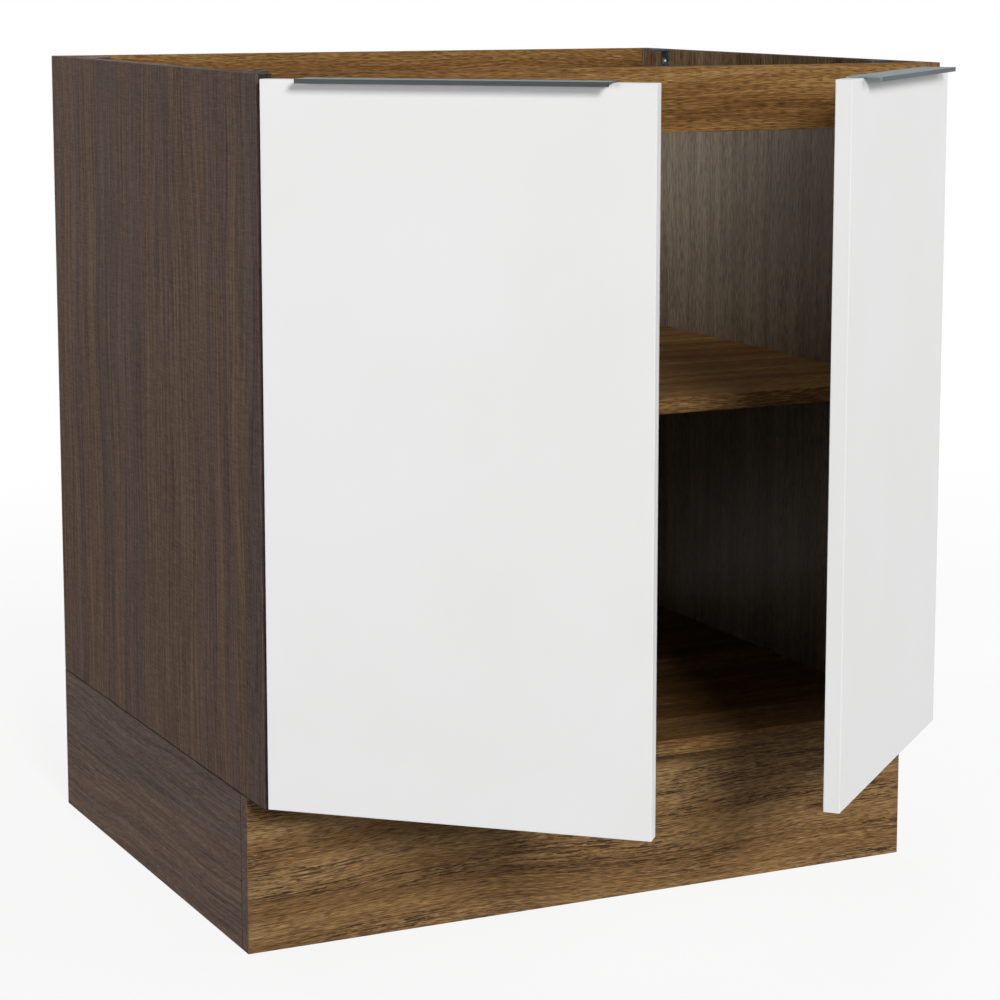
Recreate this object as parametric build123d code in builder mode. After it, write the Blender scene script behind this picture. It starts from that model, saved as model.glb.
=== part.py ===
from build123d import *
import os
from math import atan, cos, degrees, radians, sin

# Kitchen base cabinet with two doors ajar, in millimetres.
# The origin is on the floor, under the middle of the plinth's front board.
# X runs to the right, Y to the back and Z up.

# Carcass sizes
cabinet_width = 700
cabinet_depth = 580
cabinet_height = 795
board = 15
edge_radius = 0.6
plinth_height = 147
plinth_setback = 45
rail_height = 60
shelf_setback = 20
shelf_side_clearance = 1
shelf_back_clearance = 5
back_thickness = 3
back_inset = 1

# Door sizes
door_thickness = 15
door_gap = 2.5
door_side_reveal = 2
door_middle_gap = 4
door_end_reveal = 4
door_angle = 42
door_edge_radius = 0.8

# Edge pull on the top of each door
handle_end_distance = 37
handle_projection = 16
handle_lip_height = 4
handle_leg_height = 22
handle_metal = 1.2
handle_screw_count = 3
handle_screw_end = 30

# Concealed hinges
hinge_end_distance = 100
pin_from_edge = 6
pin_from_face = 8
pin_radius = 1.1
pin_length = 11
running_clearance = 0.05
seat_clearance = 0.02
cup_radius = 17.5
cup_edge_distance = 2.5
cup_depth = 12
cup_wall = 0.8
cup_flange = 0.6
cup_flange_length = 60
cup_flange_width = 14
cup_screw_spacing = 48
cup_screw_offset = 6
cup_pocket_clearance = 0.1
lug_gap = 3.3
lug_reach = 2.3
neck_height = 6
neck_thickness = 3.5
neck_side_gap = 2.5
neck_below_pin = 1.9
neck_above_pin = 0.9
eye_radius = 2.1
arm_front = 2
arm_front_wall = 4
arm_length = 58
arm_height = 14
arm_metal = 1.2
arm_plate_gap = 0.3
plate_setback = 37
plate_thickness = 2
plate_wing_width = 16
plate_wing_length = 54
plate_screw_spacing = 32
ridge_front = 12
ridge_length = 46
ridge_height = 8.4
ridge_width = 10.8
arm_screw_setbacks = (20, 52)

# Worktop brackets
bracket_end_distance = 70
bracket_width = 16
bracket_leg = 25
bracket_flange = 22
bracket_metal = 1.5
bracket_bend = 1.5
bracket_hole_radius = 2.25
bracket_hole_inset = 13
bracket_screw_drop = 13

# Board joints
cam_radius = 7.5
cam_depth = 12
cam_from_end = 24
cam_bolt_radius = 2.5
cam_bolt_head_radius = 3.2
cam_bolt_head_length = 4
cam_slot_clearance = 0.4
bolt_bite = 11
dowel_radius = 4
dowel_bite = 10
dowel_reach = 20
fitting_clearance = 0.05
hole_end_clearance = 0.5
rail_dowel_drop = 18
rail_cam_drop = 42
bottom_cam_spacing = 40
bottom_dowel_spacing = 32

# Plinth blocks, shelf pins, nails and screws
block_size = 25
block_chamfer = 8
block_screw_low = 18
block_screw_high = 7
block_screw_near = 7
block_screw_far = 17
shelf_pin_radius = 2.5
shelf_pin_bite = 8
shelf_pin_reach = 8
shelf_pin_tab_width = 12
shelf_pin_tab_thickness = 2
shelf_pin_end_distance = 60
nail_radius = 0.7
nail_head_radius = 2
nail_head_thickness = 0.6
nail_head_sink = 0.1
nail_bite = 12
nail_rows = 6
nail_columns = 5
nail_end_distance = 60
screw_radius = 1.75
screw_head_radius = 3.5
screw_head_height = 2
screw_bite = 10
screw_slot_width = 0.7
screw_slot_depth = 0.9

# Places that follow from the sizes
front_y = -(plinth_setback + board / 2)
back_y = front_y + cabinet_depth
side_outer_x = cabinet_width / 2
side_inner_x = side_outer_x - board
top_z = cabinet_height
bottom_z = plinth_height
floor_top_z = bottom_z + board
rail_bottom_z = top_z - rail_height
shelf_middle_z = (floor_top_z + top_z) / 2
shelf_bottom_z = shelf_middle_z - board / 2
plinth_front_y = front_y + plinth_setback
plinth_inner_front_y = plinth_front_y + board
plinth_inner_rear_y = back_y - board

door_width = (cabinet_width - 2 * door_side_reveal - door_middle_gap) / 2
door_bottom_z = bottom_z + door_end_reveal
door_top_z = top_z - door_end_reveal
hinge_heights = (door_bottom_z + hinge_end_distance, door_top_z - hinge_end_distance)
pin_x = -side_outer_x + door_side_reveal + pin_from_edge
pin_y = front_y - door_gap - pin_from_face

bracket_ys = (front_y + bracket_end_distance, back_y - bracket_end_distance)
bracket_screw_z = top_z - bracket_screw_drop
shelf_pin_ys = (front_y + shelf_pin_end_distance, back_y - shelf_pin_end_distance)
shelf_pin_z = shelf_bottom_z - shelf_pin_radius
plate_y = front_y + plate_setback
plate_screw_points = [
    (plate_y, height + offset)
    for height in hinge_heights
    for offset in (-plate_screw_spacing / 2, plate_screw_spacing / 2)
]
bracket_screw_points = [(y, bracket_screw_z) for y in bracket_ys]
shelf_pin_points = [(y, shelf_pin_z) for y in shelf_pin_ys]

bottom_joint_z = bottom_z + board / 2
bottom_cam_ys = (
    plinth_inner_front_y + bottom_cam_spacing,
    plinth_inner_rear_y - bottom_cam_spacing,
)
bottom_dowel_ys = (
    bottom_cam_ys[0] + bottom_dowel_spacing,
    bottom_cam_ys[1] - bottom_dowel_spacing,
)
front_rail_y = front_y + board / 2
rear_rail_y = back_y - board / 2
bottom_cam_points = [(y, bottom_joint_z) for y in bottom_cam_ys]
bottom_dowel_points = [(y, bottom_joint_z) for y in bottom_dowel_ys]
front_rail_cam_points = [(front_rail_y, top_z - rail_cam_drop)]
front_rail_dowel_points = [(front_rail_y, top_z - rail_dowel_drop)]
rear_rail_cam_points = [(rear_rail_y, top_z - rail_cam_drop)]
rear_rail_dowel_points = [(rear_rail_y, top_z - rail_dowel_drop)]
all_cam_points = bottom_cam_points + front_rail_cam_points + rear_rail_cam_points
all_dowel_points = bottom_dowel_points + front_rail_dowel_points + rear_rail_dowel_points


def spread(low, high, count):
    """Evenly spaced values from low to high, both included."""
    return [low + (high - low) * index / (count - 1) for index in range(count)]


nail_side_x = side_outer_x - board / 2
side_nail_zs = spread(bottom_z + nail_end_distance, top_z - rail_height - nail_end_distance, nail_rows)
cross_nail_xs = spread(-side_inner_x + nail_end_distance, side_inner_x - nail_end_distance, nail_columns)
side_nail_points = [(x, z) for x in (-nail_side_x, nail_side_x) for z in side_nail_zs]
bottom_nail_points = [(x, bottom_joint_z) for x in cross_nail_xs]
rail_nail_points = [(x, top_z - rail_height / 2) for x in cross_nail_xs]
nail_points = side_nail_points + bottom_nail_points + rail_nail_points

block_screw_length = block_size + screw_bite
corner_block_ys = (plinth_inner_front_y + block_size / 2, plinth_inner_rear_y - block_size / 2)


def side_face(side):
    """Plane on a side panel's inner face: its x runs back and its y runs up."""
    return Plane(origin=(side * side_inner_x, 0, 0), x_dir=(0, 1, 0), z_dir=(1, 0, 0))


left_face = side_face(-1)
rear_face = Plane(origin=(0, back_y, 0), x_dir=(-1, 0, 0), z_dir=(0, 1, 0))

# The door's own frame at rest: its origin is the hinge pin, its x runs along the door
# to the free edge and its y runs out of the inner face.
along_door = (cos(radians(door_angle)), -sin(radians(door_angle)), 0)
out_of_door = (-sin(radians(door_angle)), -cos(radians(door_angle)), 0)
into_cabinet = (sin(radians(door_angle)), cos(radians(door_angle)), 0)
door_frame = Plane(origin=(pin_x, pin_y, 0), x_dir=along_door, z_dir=(0, 0, 1))
door_inner_face = Plane(
    origin=door_frame.from_local_coords((0, pin_from_face, 0)), x_dir=along_door, z_dir=out_of_door
)
cup_x = cup_edge_distance + cup_radius - pin_from_edge
cup_points = [(cup_x, height) for height in hinge_heights]
flange_points = [(cup_x + cup_screw_offset, height) for height in hinge_heights]
cup_screw_points = [
    (x, height + offset)
    for x, height in flange_points
    for offset in (-cup_screw_spacing / 2, cup_screw_spacing / 2)
]
handle_start = handle_end_distance - pin_from_edge
handle_length = door_width - 2 * handle_end_distance
handle_screw_z = door_top_z - handle_leg_height / 2
handle_screw_points = [
    (x, handle_screw_z)
    for x in spread(
        handle_start + handle_screw_end,
        handle_start + handle_length - handle_screw_end,
        handle_screw_count,
    )
]


def fill(x_range, y_range, z_range):
    """Add a block that fills the three ranges."""
    centre = [sum(limits) / 2 for limits in (x_range, y_range, z_range)]
    size = [limits[1] - limits[0] for limits in (x_range, y_range, z_range)]
    with Locations(tuple(centre)):
        Box(*size)


def cylinders(plane, points, radius, start, end, mode=Mode.ADD):
    """Cylinders along a plane's normal, from start to end, at points of the plane."""
    low = min(start, end)
    high = max(start, end)
    with Locations(*[plane.location * Location((u, v, low)) for u, v in points]):
        Cylinder(radius, high - low, align=(Align.CENTER, Align.CENTER, Align.MIN), mode=mode)


def place(piece, plane, points, height=0):
    """Add copies of a piece, standing on a plane at the given points and height."""
    with Locations(*[plane.location * Location((u, v, height)) for u, v in points]):
        add(piece)


def screw(length, sunk=False):
    """A screw with a cross slot, its shank along -Z; a sunk head ends flush at zero."""
    if sunk:
        head_top = 0
        head = [(screw_head_radius, 0), (screw_radius, -handle_metal)]
    else:
        head_top = screw_head_height
        head = [(screw_head_radius * 2 / 3, head_top), (screw_head_radius, 0), (screw_radius, 0)]
    tip = [(screw_radius, screw_radius - length), (0, -length)]
    with BuildPart() as turned:
        with BuildSketch(Plane.XZ):
            with BuildLine():
                Polyline((0, head_top), *head, *tip, close=True)
            make_face()
        revolve(axis=Axis.Z)
        with BuildSketch(Plane.XY.offset(head_top)):
            Rectangle(screw_head_radius, screw_slot_width)
            Rectangle(screw_slot_width, screw_head_radius)
        extrude(amount=-screw_slot_depth, mode=Mode.SUBTRACT)
    return turned.part


def pilot_holes(plane, points, length, extra=0):
    """Holes for screws that enter the board below a plane."""
    depth = length + hole_end_clearance
    cylinders(plane, points, screw_radius + fitting_clearance, extra, -depth, Mode.SUBTRACT)


short_screw = screw(screw_bite)
bracket_screw = screw(screw_bite + bracket_metal)
plate_screw = screw(screw_bite + plate_thickness)
block_screw = screw(block_screw_length)
sunk_screw = screw(screw_bite + handle_metal, sunk=True)

# Side panels, drilled from the inner face and nailed from behind
with BuildPart() as left_side_panel:
    fill((-side_outer_x, -side_inner_x), (front_y, back_y), (bottom_z, top_z))
    fillet(left_side_panel.edges(), edge_radius)
    pilot_holes(left_face, bracket_screw_points + plate_screw_points, screw_bite)
    cylinders(
        left_face,
        shelf_pin_points,
        shelf_pin_radius + fitting_clearance,
        0,
        -shelf_pin_bite - hole_end_clearance,
        Mode.SUBTRACT,
    )
    cylinders(
        left_face,
        all_cam_points,
        cam_bolt_radius + fitting_clearance,
        0,
        -bolt_bite - hole_end_clearance,
        Mode.SUBTRACT,
    )
    cylinders(
        left_face,
        all_dowel_points,
        dowel_radius + fitting_clearance,
        0,
        -dowel_bite - hole_end_clearance,
        Mode.SUBTRACT,
    )
    cylinders(
        rear_face,
        side_nail_points,
        nail_radius + fitting_clearance,
        0,
        -nail_bite - hole_end_clearance,
        Mode.SUBTRACT,
    )

with BuildPart() as right_side_panel:
    mirror(left_side_panel.part, about=Plane.YZ)


def end_bores(cam_points, dowel_points):
    """Bores in both ends of a board that lies between the side panels."""
    for side in (-1, 1):
        plane = side_face(side)
        bolt_end = -side * cam_from_end
        dowel_end = -side * (dowel_reach + hole_end_clearance)
        bolt_bore = cam_bolt_head_radius + cam_slot_clearance
        cylinders(plane, cam_points, bolt_bore, 0, bolt_end, Mode.SUBTRACT)
        cylinders(plane, dowel_points, dowel_radius + fitting_clearance, 0, dowel_end, Mode.SUBTRACT)


cam_xs = (-side_inner_x + cam_from_end, side_inner_x - cam_from_end)
bottom_underside = Plane(origin=(0, 0, bottom_z), x_dir=(1, 0, 0), z_dir=(0, 0, -1))
front_rail_inside = Plane(origin=(0, front_y + board, 0), x_dir=(-1, 0, 0), z_dir=(0, 1, 0))
rear_rail_inside = Plane(origin=(0, back_y - board, 0), x_dir=(1, 0, 0), z_dir=(0, -1, 0))
bottom_pockets = [(x, -y) for x in cam_xs for y in bottom_cam_ys]
rail_pockets = [(x, top_z - rail_cam_drop) for x in cam_xs]


def cam_pockets(plane, points):
    """Round pockets that take the cam locks."""
    cylinders(plane, points, cam_radius + fitting_clearance, 0, -cam_depth, Mode.SUBTRACT)


rising_x = side_inner_x - block_screw_far
rising_ys = (plinth_inner_front_y + block_screw_far, plinth_inner_rear_y - block_screw_far)
rising_points = [(x, -y) for x in (-rising_x, rising_x) for y in rising_ys]

# Boards between the side panels
with BuildPart() as bottom_panel:
    fill((-side_inner_x, side_inner_x), (front_y, back_y), (bottom_z, floor_top_z))
    fillet(bottom_panel.edges().filter_by(Axis.X), edge_radius)
    end_bores(bottom_cam_points, bottom_dowel_points)
    cam_pockets(bottom_underside, bottom_pockets)
    pilot_holes(bottom_underside, rising_points, screw_bite)
    cylinders(
        rear_face,
        bottom_nail_points,
        nail_radius + fitting_clearance,
        0,
        -nail_bite - hole_end_clearance,
        Mode.SUBTRACT,
    )

with BuildPart() as front_top_rail:
    fill((-side_inner_x, side_inner_x), (front_y, front_y + board), (rail_bottom_z, top_z))
    fillet(front_top_rail.edges().filter_by(Axis.X), edge_radius)
    end_bores(front_rail_cam_points, front_rail_dowel_points)
    cam_pockets(front_rail_inside, rail_pockets)

with BuildPart() as rear_top_rail:
    fill((-side_inner_x, side_inner_x), (back_y - board, back_y), (rail_bottom_z, top_z))
    fillet(rear_top_rail.edges().filter_by(Axis.X), edge_radius)
    end_bores(rear_rail_cam_points, rear_rail_dowel_points)
    cam_pockets(rear_rail_inside, rail_pockets)
    cylinders(
        rear_face,
        rail_nail_points,
        nail_radius + fitting_clearance,
        0,
        -nail_bite - hole_end_clearance,
        Mode.SUBTRACT,
    )

shelf_half_width = side_inner_x - shelf_side_clearance
with BuildPart() as shelf:
    fill(
        (-shelf_half_width, shelf_half_width),
        (front_y + shelf_setback, back_y - shelf_back_clearance),
        (shelf_bottom_z, shelf_bottom_z + board),
    )
    fillet(shelf.edges(), edge_radius)

# Thin back, nailed over the rear edges with the heads just below its surface
back_half_width = side_outer_x - back_inset
nail_seat = back_thickness - nail_head_sink - nail_head_thickness
with BuildPart() as back_panel:
    fill(
        (-back_half_width, back_half_width),
        (back_y, back_y + back_thickness),
        (bottom_z + back_inset, top_z - back_inset),
    )
    cylinders(rear_face, nail_points, nail_radius + fitting_clearance, 0, nail_seat, Mode.SUBTRACT)
    cylinders(
        rear_face,
        nail_points,
        nail_head_radius + fitting_clearance,
        nail_seat,
        back_thickness,
        Mode.SUBTRACT,
    )

with BuildPart() as one_nail:
    with BuildSketch(Plane.XZ):
        with BuildLine():
            Polyline(
                (0, nail_head_thickness),
                (nail_head_radius, nail_head_thickness),
                (nail_head_radius, 0),
                (nail_radius, 0),
                (nail_radius, nail_radius - nail_seat - nail_bite),
                (0, -nail_seat - nail_bite),
                close=True,
            )
        make_face()
    revolve(axis=Axis.Z)

with BuildPart() as back_panel_nails:
    place(one_nail.part, rear_face, nail_points, nail_seat)

# Plinth: the front board covers the ends of the side boards, the rear board lies between them
front_block_screws = Plane(
    origin=(0, plinth_inner_front_y + block_size, 0), x_dir=(-1, 0, 0), z_dir=(0, 1, 0)
)
rear_block_screws = Plane(
    origin=(0, plinth_inner_rear_y - block_size, 0), x_dir=(1, 0, 0), z_dir=(0, -1, 0)
)
sideways_ys = (
    plinth_inner_front_y + block_screw_near,
    plinth_inner_rear_y - block_screw_near,
)
sideways_points = [(y, bottom_z - block_screw_low) for y in sideways_ys]
lengthways_x = side_inner_x - block_screw_near
lengthways_points = [(x, bottom_z - block_screw_high) for x in (-lengthways_x, lengthways_x)]

with BuildPart() as plinth_front_board:
    fill((-side_outer_x, side_outer_x), (plinth_front_y, plinth_inner_front_y), (0, bottom_z))
    fillet(plinth_front_board.edges(), edge_radius)
    pilot_holes(front_block_screws, lengthways_points, block_screw_length)

with BuildPart() as plinth_rear_board:
    fill((-side_inner_x, side_inner_x), (plinth_inner_rear_y, back_y), (0, bottom_z))
    fillet(plinth_rear_board.edges().filter_by(Axis.X), edge_radius)
    pilot_holes(rear_block_screws, lengthways_points, block_screw_length)

with BuildPart() as plinth_left_board:
    fill((-side_outer_x, -side_inner_x), (plinth_inner_front_y, back_y), (0, bottom_z))
    fillet(plinth_left_board.edges().filter_by(Axis.Y), edge_radius)
    pilot_holes(left_face, sideways_points, screw_bite)

with BuildPart() as plinth_right_board:
    mirror(plinth_left_board.part, about=Plane.YZ)

block_x_range = (-side_inner_x, -side_inner_x + block_size)
block_z_range = (bottom_z - block_size, bottom_z)
block_hole = screw_radius + fitting_clearance
with BuildPart() as plinth_corner_blocks:
    for middle_y in corner_block_ys:
        fill(block_x_range, (middle_y - block_size / 2, middle_y + block_size / 2), block_z_range)
    free_edges = plinth_corner_blocks.edges().filter_by(Axis.Z).group_by(Axis.X)[-1]
    inner_edges = free_edges.sort_by(Axis.Y)[1:3]
    chamfer(inner_edges, block_chamfer)
    cylinders(left_face, sideways_points, block_hole, 0, block_size, Mode.SUBTRACT)
    cylinders(front_block_screws, lengthways_points, block_hole, 0, -block_size, Mode.SUBTRACT)
    cylinders(rear_block_screws, lengthways_points, block_hole, 0, -block_size, Mode.SUBTRACT)
    cylinders(bottom_underside, rising_points, block_hole, 0, block_size, Mode.SUBTRACT)
    mirror(about=Plane.YZ)

with BuildPart() as plinth_block_screws:
    place(block_screw, left_face, sideways_points, block_size)
    mirror(about=Plane.YZ)
    place(block_screw, front_block_screws, lengthways_points)
    place(block_screw, rear_block_screws, lengthways_points)
    place(block_screw, bottom_underside, rising_points, block_size)

# Hidden fittings: the bolts stand in the sides, the cams lie in the boards and hold them
with BuildPart() as cam_bolts:
    head_start = cam_from_end - cam_bolt_head_length
    cylinders(left_face, all_cam_points, cam_bolt_radius, -bolt_bite, cam_from_end)
    cylinders(left_face, all_cam_points, cam_bolt_head_radius, head_start, cam_from_end)
    mirror(about=Plane.YZ)

cam_bolt_slot = cam_bolt_head_radius + cam_slot_clearance
with BuildPart() as cam_locks:
    cylinders(bottom_underside, bottom_pockets, cam_radius, 0, -cam_depth)
    cylinders(front_rail_inside, rail_pockets, cam_radius, 0, -cam_depth)
    cylinders(rear_rail_inside, rail_pockets, cam_radius, 0, -cam_depth)
    for side in (-1, 1):
        slot_end = -side * (cam_from_end + cam_slot_clearance)
        cylinders(side_face(side), all_cam_points, cam_bolt_slot, 0, slot_end, Mode.SUBTRACT)

with BuildPart() as dowels:
    cylinders(left_face, all_dowel_points, dowel_radius, -dowel_bite, dowel_reach)
    mirror(about=Plane.YZ)

# Shelf pins with a flat tab under the shelf
with BuildPart() as shelf_pins:
    cylinders(left_face, shelf_pin_points, shelf_pin_radius, -shelf_pin_bite, 0)
    for tab_y in shelf_pin_ys:
        fill(
            (-side_inner_x, -side_inner_x + shelf_pin_reach),
            (tab_y - shelf_pin_tab_width / 2, tab_y + shelf_pin_tab_width / 2),
            (shelf_bottom_z - shelf_pin_tab_thickness, shelf_bottom_z),
        )
    mirror(about=Plane.YZ)

# Steel angles that hold the worktop, flush with the tops of the sides
top_plane = Plane.XY.offset(top_z)
bracket_hole_points = [(-side_inner_x + bracket_hole_inset, y) for y in bracket_ys]
with BuildPart() as worktop_brackets:
    for bracket_y in bracket_ys:
        section = Plane(
            origin=(-side_inner_x, bracket_y + bracket_width / 2, top_z),
            x_dir=(1, 0, 0),
            z_dir=(0, -1, 0),
        )
        with BuildSketch(section):
            with BuildLine():
                FilletPolyline(
                    (0, -bracket_leg),
                    (0, 0),
                    (bracket_flange, 0),
                    radius=bracket_bend + bracket_metal,
                )
                offset(amount=-bracket_metal, side=Side.RIGHT)
            make_face()
        extrude(amount=bracket_width)
    cylinders(
        left_face,
        bracket_screw_points,
        screw_radius + fitting_clearance,
        0,
        bracket_metal,
        Mode.SUBTRACT,
    )
    cylinders(top_plane, bracket_hole_points, bracket_hole_radius, 0, -bracket_metal, Mode.SUBTRACT)
    mirror(about=Plane.YZ)

with BuildPart() as worktop_bracket_screws:
    place(bracket_screw, left_face, bracket_screw_points, bracket_metal)
    mirror(about=Plane.YZ)

# Hinge plates on the side panels, and the arms that slide over them
arm_screw_points = [
    (front_y + setback, height) for height in hinge_heights for setback in arm_screw_setbacks
]
ridge_back = ridge_front + ridge_length
ridge_middle_y = front_y + (ridge_front + ridge_back) / 2
with BuildPart() as hinge_plates:
    with BuildSketch(left_face):
        with Locations(*[(plate_y, height) for height in hinge_heights]):
            SlotOverall(plate_wing_length, plate_wing_width, rotation=90)
    extrude(amount=plate_thickness)
    with BuildSketch(left_face):
        with Locations(*[(ridge_middle_y, height) for height in hinge_heights]):
            Rectangle(ridge_length, ridge_width)
    extrude(amount=ridge_height)
    cylinders(
        left_face,
        plate_screw_points,
        screw_radius + fitting_clearance,
        0,
        plate_thickness,
        Mode.SUBTRACT,
    )
    cylinders(
        left_face,
        arm_screw_points,
        screw_radius + fitting_clearance,
        0,
        ridge_height,
        Mode.SUBTRACT,
    )
    mirror(about=Plane.YZ)

with BuildPart() as hinge_plate_screws:
    place(plate_screw, left_face, plate_screw_points, plate_thickness)
    mirror(about=Plane.YZ)

arm_top = ridge_height + arm_metal
arm_floor = plate_thickness + arm_plate_gap
arm_x_range = (-side_inner_x + arm_floor, -side_inner_x + arm_top)
arm_y_range = (front_y + arm_front, front_y + arm_front + arm_length)
neck_left = -side_inner_x + neck_side_gap - pin_x
neck_right = neck_left + neck_thickness
neck_back = front_y + arm_front + arm_front_wall - pin_y
channel_width = arm_height - 2 * arm_metal
with BuildPart() as hinge_arms:
    for height in hinge_heights:
        fill(arm_x_range, arm_y_range, (height - arm_height / 2, height + arm_height / 2))
        with BuildSketch(Plane(origin=(pin_x, pin_y, height - neck_height / 2))):
            with BuildLine():
                Polyline(
                    (0, -neck_below_pin),
                    (neck_right, -neck_below_pin),
                    (neck_right, neck_back),
                    (neck_left, neck_back),
                    (neck_left, neck_above_pin),
                    (0, neck_above_pin),
                    close=True,
                )
            make_face()
            Circle(eye_radius)
            Circle(pin_radius + running_clearance, mode=Mode.SUBTRACT)
        extrude(amount=neck_height)
    channel_start = front_y + arm_front + arm_front_wall
    channel_length = arm_length - arm_front_wall
    with BuildSketch(left_face.offset(arm_floor)):
        with Locations(*[(channel_start + channel_length / 2, height) for height in hinge_heights]):
            Rectangle(channel_length, channel_width)
    extrude(amount=ridge_height - arm_floor, mode=Mode.SUBTRACT)
    cylinders(
        left_face,
        arm_screw_points,
        screw_radius + fitting_clearance,
        ridge_height,
        arm_top,
        Mode.SUBTRACT,
    )
    mirror(about=Plane.YZ)

arm_screw = screw(arm_top - arm_floor)
with BuildPart() as hinge_arm_screws:
    place(arm_screw, left_face, arm_screw_points, arm_top)
    mirror(about=Plane.YZ)

# Left door and what it carries, drawn in the door's own frame
with BuildPart() as left_door:
    with BuildSketch(door_frame.offset(door_bottom_z)):
        with Locations((door_width / 2 - pin_from_edge, pin_from_face - door_thickness / 2)):
            Rectangle(door_width, door_thickness)
    extrude(amount=door_top_z - door_bottom_z)
    fillet(left_door.edges(), door_edge_radius)
    cylinders(
        door_inner_face,
        cup_points,
        cup_radius + cup_pocket_clearance,
        0,
        cup_depth + cup_pocket_clearance,
        Mode.SUBTRACT,
    )
    cylinders(
        door_inner_face,
        cup_screw_points + handle_screw_points,
        screw_radius + fitting_clearance,
        0,
        screw_bite + hole_end_clearance,
        Mode.SUBTRACT,
    )

pin_bottom_wall = cup_depth - pin_from_face - cup_wall / 2
with BuildPart() as left_hinge_cups:
    with BuildSketch(door_inner_face.offset(-cup_flange)):
        with Locations(*flange_points):
            SlotOverall(cup_flange_length, cup_flange_width, rotation=90)
        with Locations(*cup_points):
            Circle(cup_radius)
    extrude(amount=cup_flange)
    cylinders(door_inner_face, cup_points, cup_radius, 0, cup_depth)
    cylinders(
        door_inner_face,
        cup_points,
        cup_radius - cup_wall,
        -cup_flange,
        cup_depth - cup_wall,
        Mode.SUBTRACT,
    )
    lug_height = pin_length / 2 - lug_gap
    for height in hinge_heights:
        for lug_bottom in (height - pin_length / 2, height + lug_gap):
            with BuildSketch(door_frame.offset(lug_bottom)):
                with Locations((0, (lug_reach - pin_bottom_wall) / 2)):
                    Rectangle(2 * lug_reach, lug_reach + pin_bottom_wall)
                Circle(pin_radius + seat_clearance, mode=Mode.SUBTRACT)
            extrude(amount=lug_height)
    cylinders(
        door_inner_face,
        cup_screw_points,
        screw_radius + fitting_clearance,
        -cup_flange,
        0,
        Mode.SUBTRACT,
    )

with BuildPart() as left_hinge_pins:
    for height in hinge_heights:
        cylinders(door_frame, [(0, 0)], pin_radius, height - pin_length / 2, height + pin_length / 2)

screw_side = Plane(origin=door_inner_face.origin, x_dir=along_door, z_dir=into_cabinet)
with BuildPart() as left_cup_screws:
    place(short_screw, screw_side, [(u, -v) for u, v in cup_screw_points], cup_flange)

handle_section = Plane(
    origin=door_frame.from_local_coords((handle_start, pin_from_face, door_top_z)),
    x_dir=into_cabinet,
    z_dir=along_door,
)
lip_outside = -door_thickness - handle_projection
lip_bottom = handle_metal - handle_lip_height
leg_outside = screw_side.offset(handle_metal)
sink_angle = 2 * degrees(atan((screw_head_radius - screw_radius) / handle_metal))
with BuildPart() as left_handle:
    with BuildSketch(handle_section):
        with BuildLine():
            Polyline(
                (handle_metal, handle_metal),
                (lip_outside, handle_metal),
                (lip_outside, lip_bottom),
                (lip_outside + handle_metal, lip_bottom),
                (lip_outside + handle_metal, 0),
                (0, 0),
                (0, -handle_leg_height),
                (handle_metal, -handle_leg_height),
                close=True,
            )
        make_face()
    extrude(amount=handle_length)
    with Locations(*[leg_outside.location * Location((u, -v, 0)) for u, v in handle_screw_points]):
        CounterSinkHole(
            screw_radius + fitting_clearance,
            screw_head_radius + fitting_clearance,
            depth=handle_metal,
            counter_sink_angle=sink_angle,
        )

with BuildPart() as left_handle_screws:
    place(sunk_screw, screw_side, [(u, -v) for u, v in handle_screw_points], handle_metal)

left_pieces = {
    "door": left_door,
    "handle": left_handle,
    "handle_screws": left_handle_screws,
    "hinge_cups": left_hinge_cups,
    "hinge_pins": left_hinge_pins,
    "cup_screws": left_cup_screws,
}
carcass_pieces = {
    "left_side_panel": left_side_panel,
    "right_side_panel": right_side_panel,
    "bottom_panel": bottom_panel,
    "front_top_rail": front_top_rail,
    "rear_top_rail": rear_top_rail,
    "shelf": shelf,
    "back_panel": back_panel,
    "back_panel_nails": back_panel_nails,
    "plinth_front_board": plinth_front_board,
    "plinth_rear_board": plinth_rear_board,
    "plinth_left_board": plinth_left_board,
    "plinth_right_board": plinth_right_board,
    "plinth_corner_blocks": plinth_corner_blocks,
    "plinth_block_screws": plinth_block_screws,
    "cam_bolts": cam_bolts,
    "cam_locks": cam_locks,
    "dowels": dowels,
    "shelf_pins": shelf_pins,
    "worktop_brackets": worktop_brackets,
    "worktop_bracket_screws": worktop_bracket_screws,
    "hinge_plates": hinge_plates,
    "hinge_plate_screws": hinge_plate_screws,
    "hinge_arms": hinge_arms,
    "hinge_arm_screws": hinge_arm_screws,
}

os.makedirs("parts", exist_ok=True)
for name, piece in carcass_pieces.items():
    piece.part.label = name
    export_step(piece.part, f"parts/{name}.step")

# The right door and its fittings mirror the left ones
for name, piece in left_pieces.items():
    with BuildPart() as right_piece:
        mirror(piece.part, about=Plane.YZ)
    piece.part.label = f"left_{name}"
    right_piece.part.label = f"right_{name}"
    export_step(piece.part, f"parts/left_{name}.step")
    export_step(right_piece.part, f"parts/right_{name}.step")
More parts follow.
